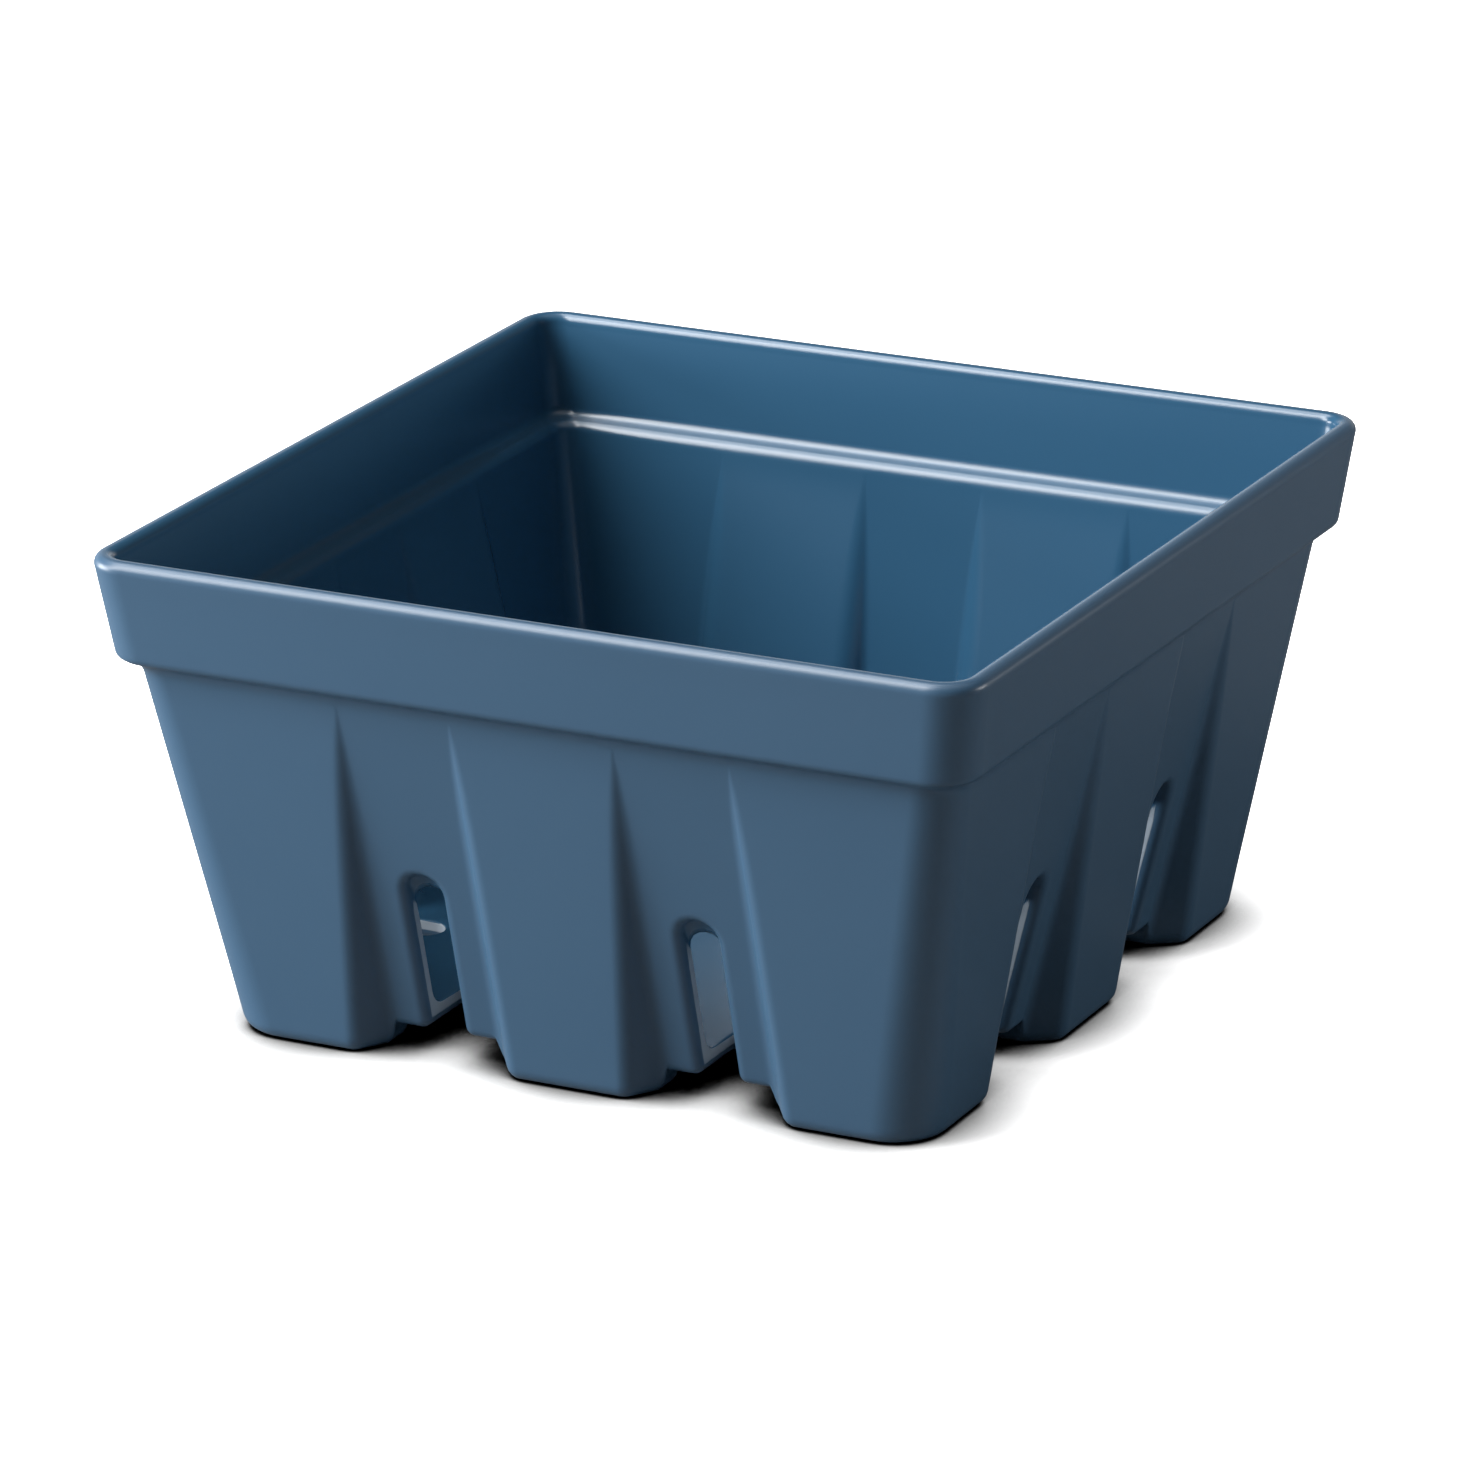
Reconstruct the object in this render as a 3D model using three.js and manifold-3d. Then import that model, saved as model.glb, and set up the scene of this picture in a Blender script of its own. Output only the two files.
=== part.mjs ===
// Berry colander: a square, open, tapered basket moulded in one piece.
// It has a rim band, a ledge inside it, four walls that each have two recessed drain panels with a slot,
// and legs between the panels that end in low feet, so that water runs out under the floor.
// Millimetres, +Z up. The origin is on the ground, under the middle of the basket.
// The moulding is cut on flat planes into its named regions, which meet face to face.
import * as THREE from "three";
import { mergeVertices } from "three/addons/utils/BufferGeometryUtils.js";
import Module from "manifold-3d";

const degrees = THREE.MathUtils.degToRad;

// Whole basket
const rimWidth = 150; // outside, across the lip
const height = 80;
const cornerRadius = 7; // of the rim band, outside, in plan
const wall = 3.3; // thickness of the moulding
const lipRadius = 1.5;

// Rim band
const bandHeight = 18.3; // from the crease under the band to the top of the lip
const bandDraft = degrees(7.8);
const bandStep = 2.7; // how far the band stands out from the wall under it
const bandRound = 3.7; // radius under the band

// Ledge inside, behind the foot of the band
const ledgeRise = 1.5; // height of the ledge's middle over the crease
const ledgeHollowRadius = 1.2;
const ledgeShoulderRadius = 3;

// Walls, and the channels in them that hold the drain panels
const wallDraft = degrees(9);
const creaseCornerRadius = 6.5; // of the wall under the band, outside, in plan
const footCornerRadius = 8.9; // of the wall at the ground
const channelSpacing = 47.2; // between the two channels of a wall
const panelWidth = 19.4;
const channelDepth = 5.8; // at the ground, running out to nothing at the channel's top
const flankWidth = 3.9; // at the ground
const flankRound = 2; // edge radius at the ground
const channelDrop = 1.7; // from the crease down to the channel's top

// Slots
const slotWidth = 6.2;
const slotHeight = 32.3; // top of the arch over the ground, outside
const slotSlope = degrees(31); // fall of the arch's underside, from the outside inwards
const slotEdgeRound = 1.2;
const slotReach = 14; // under the floor, in from the panel's lower edge

// Floor and feet
const footHeight = 4;
const footDepth = 10; // from the outside of the wall inwards
const footRound = 2.5;
const floorFillet = 3;

// Facets and small lengths of the modelling
const cornerSteps = 8;
const roundSteps = 4;
const archSteps = 10;
const overrun = 2; // by which a cutter runs past what it cuts
const apexGap = 1; // by which a channel stops short of running out to nothing
const mergeDistance = 1e-5; // under which two corners are one

// Finish
const slateBlue = 0x4b6883;
const slateBlueInside = 0x45627d;
const rimRoughness = 0.32;
const wallRoughness = 0.36;
const floorRoughness = 0.3;

// Sizes that follow from these
const rimHalf = rimWidth / 2;
const crease = height - bandHeight;
const lipCentre = { half: rimHalf - lipRadius, z: height - lipRadius };
const bandHalf = (z) => rimHalf - (lipCentre.z - z) * Math.tan(bandDraft);
const creaseHalf = bandHalf(crease) - bandStep;
const wallHalf = (z) => creaseHalf - (crease - z) * Math.tan(wallDraft);
const bandInside = (z) => bandHalf(z) - wall / Math.cos(bandDraft);
const wallInset = wall / Math.cos(wallDraft);
const wallInside = (z) => wallHalf(z) - wallInset;
const channelTop = crease - channelDrop;
const fade = (z) => (channelTop - z) / channelTop;
const panelDraft = Math.atan(Math.tan(wallDraft) + channelDepth / channelTop);
const panelHalf = (z) => wallHalf(z) - channelDepth * fade(z);
const panelInset = wall / Math.cos(panelDraft);
const floorTop = footHeight + wall;
const footInside = wallHalf(0) - footDepth;
const floorHalf = Math.min(footInside, panelHalf(footHeight) - panelInset);
const slotEnd = panelHalf(footHeight) - slotReach;
const farOut = rimWidth;

const wasm = await Module();
wasm.setup();

// A closed geometry as a solid that can be joined and cut.
function solid(geometry) {
  const bare = geometry.clone();
  bare.deleteAttribute("normal");
  bare.deleteAttribute("uv");
  const merged = mergeVertices(bare, mergeDistance);
  return new wasm.Manifold(
    new wasm.Mesh({
      numProp: 3,
      vertProperties: merged.attributes.position.array,
      triVerts: new Uint32Array(merged.index.array),
    }),
  );
}

// A solid as a geometry for a mesh.
function geometryOf(body) {
  const mesh = body.getMesh();
  const geometry = new THREE.BufferGeometry();
  geometry.setAttribute("position", new THREE.BufferAttribute(mesh.vertProperties, 3));
  geometry.setIndex(new THREE.BufferAttribute(mesh.triVerts, 1));
  const faceted = geometry.toNonIndexed();
  faceted.computeVertexNormals();
  return faceted;
}

// A closed geometry through level outlines, from the lowest up. Every outline has as many points.
function loft(sections) {
  const count = sections[0].outline.length;
  const positions = sections.flatMap(({ outline, z }) => outline.flatMap((p) => [p.x, p.y, z]));
  const index = [];
  for (let level = 0; level + 1 < sections.length; level += 1) {
    for (let i = 0; i < count; i += 1) {
      const a = level * count + i;
      const b = level * count + ((i + 1) % count);
      index.push(a, b, b + count, a, b + count, a + count);
    }
  }
  const top = (sections.length - 1) * count;
  for (const [a, b, c] of THREE.ShapeUtils.triangulateShape(sections[0].outline, [])) {
    index.push(a, c, b);
  }
  for (const [a, b, c] of THREE.ShapeUtils.triangulateShape(sections.at(-1).outline, [])) {
    index.push(top + a, top + b, top + c);
  }
  const geometry = new THREE.BufferGeometry();
  geometry.setAttribute("position", new THREE.Float32BufferAttribute(positions, 3));
  geometry.setIndex(index);
  return geometry;
}

function box(low, high) {
  const size = high.map((value, axis) => value - low[axis]);
  const middle = high.map((value, axis) => (value + low[axis]) / 2);
  return solid(new THREE.BoxGeometry(...size).translate(...middle));
}

// Points on an arc about (x, y), both ends included.
function arc(x, y, radius, from, to, steps = roundSteps) {
  return Array.from({ length: steps + 1 }, (_, i) => {
    const angle = from + ((to - from) * i) / steps;
    return new THREE.Vector2(x + radius * Math.cos(angle), y + radius * Math.sin(angle));
  });
}

// The outline of a square with round corners.
function roundedSquare(half, radius) {
  const centre = half - radius;
  return [0, 1, 2, 3].flatMap((corner) => {
    const from = (corner * Math.PI) / 2;
    const x = corner === 0 || corner === 3 ? centre : -centre;
    const y = corner < 2 ? centre : -centre;
    return arc(x, y, radius, from, from + Math.PI / 2, cornerSteps);
  });
}

// The outside corner radius of the band or the wall at a height.
function cornerAt(z, isBand) {
  const wallCorner = THREE.MathUtils.mapLinear(z, 0, crease, footCornerRadius, creaseCornerRadius);
  return isBand ? cornerRadius : wallCorner;
}

// A solid from a profile of (half width, height) points.
// The corner radius shrinks with the inset from the face.
function squareSolid(profile, face, radius) {
  const sections = profile.map(({ x: half, y: z }) => {
    const corner = Math.max(radius(z) - Math.max(face(z) - half, 0), lipRadius / 2);
    return { outline: roundedSquare(half, corner), z };
  });
  return solid(loft(sections));
}

// The outside of the basket, filled.
function outside() {
  const footCentre = wallHalf(footRound) - footRound;
  const bandTurn = Math.acos(1 - bandStep / bandRound);
  const bandCentreZ = crease + bandRound * Math.sin(bandTurn);
  const bandCentreHalf = bandHalf(bandCentreZ) - bandRound;
  const profile = [
    ...arc(footCentre, footRound, footRound, -Math.PI / 2, -wallDraft),
    new THREE.Vector2(creaseHalf, crease),
    ...arc(bandCentreHalf, bandCentreZ, bandRound, -bandTurn, -bandDraft).slice(1),
    ...arc(lipCentre.half, lipCentre.z, lipRadius, -bandDraft, Math.PI / 2),
  ];
  const face = (z) => (z > crease ? bandHalf(z) : wallHalf(z));
  return squareSolid(profile, face, (z) => cornerAt(z, z > crease));
}

// The space inside the basket, before the backs of the channels stand into it.
function inside() {
  const filletZ = floorTop + floorFillet;
  const filletCentre = wallInside(filletZ) - floorFillet;
  const middle = crease + ledgeRise;
  const step = bandInside(middle) - wallInside(middle);
  const radii = ledgeHollowRadius + ledgeShoulderRadius;
  const turn = Math.acos(1 - step / radii);
  const rise = (radii * Math.sin(turn)) / 2;
  const shoulderZ = middle - rise;
  const hollowZ = middle + rise;
  const shoulderHalf = wallInside(shoulderZ) + ledgeShoulderRadius;
  const hollowHalf = bandInside(hollowZ) - ledgeHollowRadius;
  const profile = [
    ...arc(filletCentre, filletZ, floorFillet, -Math.PI / 2, -wallDraft),
    ...arc(shoulderHalf, shoulderZ, ledgeShoulderRadius, Math.PI, Math.PI - turn),
    ...arc(hollowHalf, hollowZ, ledgeHollowRadius, -turn, 0).slice(1),
    ...arc(bandInside(lipCentre.z) + lipRadius, lipCentre.z, lipRadius, Math.PI, Math.PI / 2),
  ];
  profile.push(new THREE.Vector2(profile.at(-1).x, height + overrun));
  const face = (z) => (z > middle ? bandInside(z) : wallInside(z));
  return squareSolid(profile, face, (z) => cornerAt(z, z > middle) - wall);
}

// The outline of a channel at one height, on the front wall: a flat panel between two rounded flanks.
function channelOutline(z, middle, halfPanel, inset) {
  const share = fade(z);
  const face = -wallHalf(z) + inset;
  const depth = channelDepth * share;
  const slope = Math.atan2(channelDepth, flankWidth);
  const tangent = flankRound * share * Math.tan(slope / 2);
  const round = flankRound * share;
  const mouth = halfPanel + flankWidth * share;
  const outer = face - inset - overrun;
  const rightHalf = [
    new THREE.Vector2(mouth + tangent, outer),
    ...arc(mouth + tangent, face + round, round, -Math.PI / 2, -Math.PI / 2 - slope),
    ...arc(halfPanel - tangent, face + depth - round, round, Math.PI / 2 - slope, Math.PI / 2),
  ];
  const leftHalf = rightHalf.map((p) => new THREE.Vector2(-p.x, p.y)).reverse();
  return [...rightHalf, ...leftHalf].map((p) => new THREE.Vector2(p.x + middle, p.y));
}

// A channel, or with a wider panel and an inset its back inside the basket.
function channel(middle, halfPanel, inset) {
  const heights = [-overrun, channelTop - apexGap];
  return solid(loft(heights.map((z) => ({ outline: channelOutline(z, middle, halfPanel, inset), z }))));
}

// An arched outline that runs down past the slot's open lower end.
function archOutline(half, top, bottom) {
  return [
    new THREE.Vector2(-half, bottom),
    new THREE.Vector2(half, bottom),
    ...arc(0, top - half, half, 0, Math.PI, archSteps),
  ];
}

// The slot through a panel and the floor, with an arch that falls inwards and a round inner end.
function slot(middle) {
  const half = slotWidth / 2;
  const upright = new THREE.ExtrudeGeometry(new THREE.Shape(archOutline(half, slotHeight, -overrun)), {
    depth: farOut,
    bevelEnabled: false,
  });
  const fall = Math.tan(slotSlope);
  upright.rotateX(Math.PI / 2);
  upright.applyMatrix4(new THREE.Matrix4().makeShear(0, 0, 0, -fall, 0, 0));
  upright.translate(middle, 0, -fall * panelHalf(slotHeight));
  const plan = new THREE.ExtrudeGeometry(new THREE.Shape(archOutline(half, -slotEnd, -farOut)), {
    depth: height,
    bevelEnabled: false,
  });
  plan.translate(middle, 0, -overrun);
  return solid(upright).intersect(solid(plan));
}

// The rounding of the slot's outer edge, which follows the leaning panel.
function slotRounding(middle) {
  const half = slotWidth / 2;
  const rise = 1 / Math.cos(panelDraft);
  const archTop = slotHeight * rise;
  const sections = Array.from({ length: roundSteps + 1 }, (_, i) => {
    const angle = (i / roundSteps) * (Math.PI / 2);
    const grow = slotEdgeRound * (1 - Math.cos(angle));
    const depth = slotEdgeRound * (1 - Math.sin(angle));
    return { outline: archOutline(half + grow, archTop + grow, -overrun), z: -depth };
  });
  sections.push({ outline: sections.at(-1).outline, z: overrun });
  const rounding = loft(sections);
  rounding.rotateX(Math.PI / 2 + panelDraft).translate(middle, -panelHalf(0), 0);
  return solid(rounding);
}

function turned(body, side) {
  return solid(geometryOf(body).rotateZ((side * Math.PI) / 2));
}

// Joins one copy of a front wall's solids for each of the four sides.
function onFourSides(bodies) {
  const copies = [0, 1, 2, 3].flatMap((side) => bodies.map((body) => turned(body, side)));
  return copies.reduce((joined, copy) => joined.add(copy));
}

// The whole moulding, before it is cut into regions.
function moulding() {
  const middles = [-channelSpacing / 2, channelSpacing / 2];
  const channels = onFourSides(middles.map((x) => channel(x, panelWidth / 2, 0)));
  const backs = onFourSides(middles.map((x) => channel(x, panelWidth / 2 + wall, wallInset)));
  const gates = onFourSides(
    middles.map((x) =>
      box(
        [x - panelWidth / 2, -farOut, -overrun],
        [x + panelWidth / 2, overrun - footInside, footHeight],
      ),
    ),
  );
  const slots = onFourSides(middles.flatMap((x) => [slot(x), slotRounding(x)]));
  const hollow = loft(
    [-overrun, footHeight].map((z) => ({ outline: roundedSquare(footInside, footCornerRadius - wall), z })),
  );
  return outside()
    .subtract(channels)
    .subtract(inside().subtract(backs))
    .subtract(solid(hollow))
    .subtract(gates)
    .subtract(slots);
}

// The regions of the front side, cut from the moulding on flat planes. The other sides are turned copies.
const whole = moulding();
const panelInner = channelSpacing / 2 - panelWidth / 2;
const panelOuter = channelSpacing / 2 + panelWidth / 2;
const below = -overrun;
const above = height + overrun;

function wallRegion(fromX, toX, toY) {
  const column = box([fromX, -farOut, below], [toX, toY, crease]);
  const floorSquare = box([-floorHalf, -floorHalf, below], [floorHalf, floorHalf, crease]);
  return geometryOf(whole.intersect(column).subtract(floorSquare));
}

function rimRegion() {
  const wedge = [
    new THREE.Vector2(0, 0),
    new THREE.Vector2(-farOut, -farOut),
    new THREE.Vector2(farOut, -farOut),
  ];
  return geometryOf(whole.intersect(solid(loft([crease, above].map((z) => ({ outline: wedge, z }))))));
}

const regions = {
  rim: rimRegion(),
  middleLeg: wallRegion(-panelInner, panelInner, -floorHalf),
  leftPanel: wallRegion(-panelOuter, -panelInner, -floorHalf),
  rightPanel: wallRegion(panelInner, panelOuter, -floorHalf),
  cornerLeg: wallRegion(panelOuter, farOut, -panelOuter),
  floor: geometryOf(
    whole.intersect(box([-floorHalf, -floorHalf, below], [floorHalf, floorHalf, crease])),
  ),
};

function piece(name, geometry, color, roughness) {
  const material = new THREE.MeshStandardMaterial({ color, roughness, metalness: 0 });
  const mesh = new THREE.Mesh(geometry, material);
  mesh.name = name;
  return mesh;
}

const colander = new THREE.Group();
const sides = ["front", "right", "back", "left"];
const corners = ["front_right", "back_right", "back_left", "front_left"];
sides.forEach((side, index) => {
  const quarter = new THREE.Group();
  quarter.rotation.z = (index * Math.PI) / 2;
  quarter.add(
    piece(`rim_${side}`, regions.rim, slateBlue, rimRoughness),
    piece(`middle_leg_${side}`, regions.middleLeg, slateBlue, wallRoughness),
    piece(`drain_panel_${side}_left`, regions.leftPanel, slateBlue, wallRoughness),
    piece(`drain_panel_${side}_right`, regions.rightPanel, slateBlue, wallRoughness),
    piece(`corner_leg_${corners[index]}`, regions.cornerLeg, slateBlue, wallRoughness),
  );
  colander.add(quarter);
});
colander.add(piece("floor", regions.floor, slateBlueInside, floorRoughness));

export default colander;
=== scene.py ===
"""Berry colander: a square basket moulded in one piece from slate blue melamine, on a white studio floor."""

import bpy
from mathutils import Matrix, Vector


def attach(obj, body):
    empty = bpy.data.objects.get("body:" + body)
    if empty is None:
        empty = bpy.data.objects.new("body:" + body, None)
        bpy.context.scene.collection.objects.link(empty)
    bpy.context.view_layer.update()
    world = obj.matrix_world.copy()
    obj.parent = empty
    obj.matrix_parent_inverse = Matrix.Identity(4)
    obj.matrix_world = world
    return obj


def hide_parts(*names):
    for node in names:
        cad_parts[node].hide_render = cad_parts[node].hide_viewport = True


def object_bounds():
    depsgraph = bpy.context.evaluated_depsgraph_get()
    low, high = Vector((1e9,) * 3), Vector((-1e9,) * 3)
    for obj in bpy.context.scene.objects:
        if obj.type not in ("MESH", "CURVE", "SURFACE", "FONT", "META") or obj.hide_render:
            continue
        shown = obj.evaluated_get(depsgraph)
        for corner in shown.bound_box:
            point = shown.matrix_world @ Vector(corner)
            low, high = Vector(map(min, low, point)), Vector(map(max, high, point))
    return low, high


bl_info = {
    "name": "Berry Colander",
    "version": (1, 0, 0),
    "blender": (4, 5, 0),
    "location": "3D View > Sidebar > Colander",
    "description": "Moulds a square berry colander around its packed solids and sets a white studio for it",
    "category": "Object",
}

import math

import bmesh
import bpy
from mathutils import Matrix, Vector

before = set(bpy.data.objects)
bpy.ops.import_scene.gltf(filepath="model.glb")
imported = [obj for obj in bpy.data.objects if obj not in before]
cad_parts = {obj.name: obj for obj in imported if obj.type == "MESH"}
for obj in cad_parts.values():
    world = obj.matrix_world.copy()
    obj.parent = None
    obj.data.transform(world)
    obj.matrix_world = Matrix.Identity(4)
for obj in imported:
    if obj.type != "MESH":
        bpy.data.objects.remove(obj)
CAD_LOW, CAD_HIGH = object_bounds()

MM = 0.001
ROUND_STEPS = 5  # facets of a rounded edge
RING_STEPS = 4  # facets of a slot's rounded edge
CORNER_STEPS = 6  # facets of half a corner of the basket
FOOT_STEPS = 3  # facets of the inner edge of a foot
FLOOR_ROWS = 6  # rows of the floor between the fillet and the inner ends of the slots
SLOT_CUTS = 3  # rings on the wall of a slot
BOTTOM_SHARES = (0.14, 0.34, 0.58, 0.8)  # rows from the feet up to the round end of a slot
TOP_SHARES = (0, 0.27, 0.52, 0.74, 0.88, 0.95, 1)  # rows from there up to the channel's top
MIDDLE_SHARES = (0.66, 0.33, 0)  # rows from the slots' inner ends to the middle of the floor
BEFORE_PANEL = 2 + 2 * ROUND_STEPS + 4  # points of a row from the wall's middle to the panel
ARCH_ROWS = 2  # rows over the opening of a slot's round end
SIDES = 4  # walls of the basket
OUTER_GROUND = 0.1  # how far the outer edge of a slot counts as ground
CLOSE = MM / 10  # what lies this near a slot's clear strip still belongs to it
WELD = MM / 500  # points this near each other become one
STRIP_EDGES = (0.08, 0.2)  # unevenness at which the paler strip in a slot sets in, and is full
STRIP_ROUGHNESS = 0.35  # what the paler strip adds to the roughness
SKIN_SHARE = 0.05  # share of the fine skin in the relief
RELIEF_STRENGTH = 0.5
RELIEF_HEIGHT = 0.15 * MM
FLOOR_SIZE = 12  # metres
# The contact's dark is a painted contact shadow on the floor.
CONTACT_SAMPLES = 24  # rays for the dark of the basket's contact
CEILING_START = 0.7  # height in the sky, up to 1 straight above, at which the ceiling's light sets in
BACKDROP_EDGES = (0.5, 0.9)  # how squarely the backdrop is faced where its light sets in, and is full
BACKDROP_FADE = (0.2, 0.45)  # heights in the sky at which the backdrop's light starts to fade, and is gone
PHOTO_PIXELS = 1460
SENSOR_WIDTH = 36  # millimetres
NEAREST_SEEN = 0.05  # metres from the camera


def number_value(name, description, default, **kind):
    """A number that a user can change."""
    return bpy.props.FloatProperty(name=name, description=description, default=default, **kind)


def length_value(name, description, default):
    """A length that a user can change."""
    return number_value(name, description, default, unit="LENGTH")


def angle_value(name, description, default):
    """An angle that a user can change."""
    return number_value(name, description, default, subtype="ANGLE")


def power_value(name, description, default):
    """A light's power that a user can change."""
    return number_value(name, description, default, unit="POWER")


def share_value(name, description, default):
    """A share of one that a user can change."""
    return number_value(name, description, default, min=0, max=1, subtype="FACTOR")


def vector_value(name, description, default, **kind):
    """A few numbers that a user can change together."""
    return bpy.props.FloatVectorProperty(name=name, description=description, default=default, **kind)


def direction_value(name, description, default):
    """A direction that a user can change."""
    return vector_value(name, description, default, subtype="DIRECTION")


def place_value(name, description, default):
    """A place that a user can change."""
    return vector_value(name, description, default, subtype="TRANSLATION")


def colour_value(name, description, default):
    """A colour that a user can change."""
    return vector_value(name, description, default, size=4, min=0, max=1, subtype="COLOR")


class ColanderSizes(bpy.types.PropertyGroup):
    """The sizes of the moulding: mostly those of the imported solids, with finer rounds."""

    rim_width: length_value("Rim width", "Outside, across the lip", 150 * MM)
    height: length_value("Height", "From the ground to the top of the lip", CAD_HIGH.z)
    wall: length_value("Wall", "Thickness of the moulding", 3.3 * MM)
    lip_radius: length_value("Lip radius", "Radius of the lip's two edges", 1.5 * MM)
    rim_corner: length_value("Rim corner", "Corner radius of the rim band in plan", 7 * MM)
    crease_corner: length_value("Crease corner", "Corner radius of the wall under the band", 6.5 * MM)
    foot_corner: length_value("Foot corner", "Corner radius of the wall at the ground", 8.9 * MM)
    band_height: length_value("Band height", "From the crease to the top of the lip", 18.3 * MM)
    band_draft: angle_value("Band draft", "Lean of the rim band", math.radians(7.8))
    band_step: length_value("Band step", "How far the band stands out over the wall", 2.7 * MM)
    band_round: length_value("Band round", "Radius under the band", 1.6 * MM)
    crease_round: length_value(
        "Crease round", "Radius of the hollow between the wall and the band", 3.2 * MM)
    crease_rise: length_value("Crease rise", "Middle of the round under the band over the crease", 2.8 * MM)
    ledge_rise: length_value("Ledge rise", "The inner ledge's middle over the crease", 1.5 * MM)
    ledge_hollow: length_value("Ledge hollow", "Radius of the hollow on the ledge", 2.0 * MM)
    ledge_shoulder: length_value("Ledge shoulder", "Radius of the ledge's shoulder", 2.2 * MM)
    wall_draft: angle_value("Wall draft", "Lean of the walls", math.radians(9))
    channel_spacing: length_value("Channel spacing", "Between a wall's two channels", 47.2 * MM)
    panel_width: length_value("Panel width", "Width of a drain panel", 19.4 * MM)
    channel_depth: length_value("Channel depth", "Depth of a channel at the ground", 5.8 * MM)
    flank_width: length_value("Flank width", "Width of a channel's flank at the ground", 3.9 * MM)
    edge_round: length_value("Edge round", "Radius between a flank and a leg's face", 2.7 * MM)
    root_round: length_value("Root round", "Radius between a flank and its panel", 2.4 * MM)
    inner_edge_round: length_value(
        "Inner edge round", "Radius between a flank and the wall, inside", 2.0 * MM)
    inner_root_round: length_value(
        "Inner root round", "Radius between a flank and its panel, inside", 4.6 * MM)
    channel_drop: length_value("Channel drop", "From the crease to a channel's top", 2.6 * MM)
    slot_width: length_value("Slot width", "Width of a drain slot", 6.2 * MM)
    slot_height: length_value("Slot height", "Top of a slot over the ground, outside", 31.8 * MM)
    slot_slope: angle_value(
        "Slot slope", "Fall of a slot's arch from the outside inwards", math.radians(31))
    slot_round: length_value("Slot round", "Radius of a slot's outer edge", 1.6 * MM)
    slot_inner_round: length_value("Slot inner round", "Radius of a slot's inner edge", 0.4 * MM)
    slot_reach: length_value("Slot reach", "How far a slot runs in under the floor", 14 * MM)
    foot_height: length_value("Foot height", "From the ground to the underside", 4 * MM)
    foot_depth: length_value("Foot depth", "Depth of a foot from the wall inwards", 10 * MM)
    foot_round: length_value("Foot round", "Radius of a foot's lower edge", 2.5 * MM)
    foot_inner_round: length_value("Foot inner round", "Radius of a foot's inner edge", 1.2 * MM)
    panel_round: length_value("Panel round", "Radius of a panel's lower edge", 1.9 * MM)
    floor_fillet: length_value("Floor fillet", "Radius between floor and wall", 3 * MM)
    support: length_value("Support", "Width of the flat strip beside a rounded edge", 0.4 * MM)
    top_blend: number_value("Top blend", "Share of the height over which a channel runs out", 0.03)


class ColanderFinish(bpy.types.PropertyGroup):
    """The colours and the gloss of the melamine. The inside's colour holds painted light."""

    colour: colour_value("Colour", "Slate blue of the satin outside", (0.045, 0.101, 0.171, 1))
    # Painted light: the inside's deeper blue stands in for the light between the inner walls; the melamine is
    # the same inside and out.
    inside_painted_light_colour: colour_value(
        "Inside colour", "Deeper blue of the glossy inside", (0.029, 0.099, 0.181, 1))
    shade: colour_value("Shade", "Tint of the mottling", (0.90, 0.93, 0.95, 1))
    ground_colour: colour_value(
        "Ground colour", "Paler blue where a slot was ground open", (0.30, 0.36, 0.42, 1))
    outside_roughness: share_value("Outside roughness", "Satin outside", 0.36)
    inside_roughness: share_value("Inside roughness", "Glossier inside", 0.24)


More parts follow.
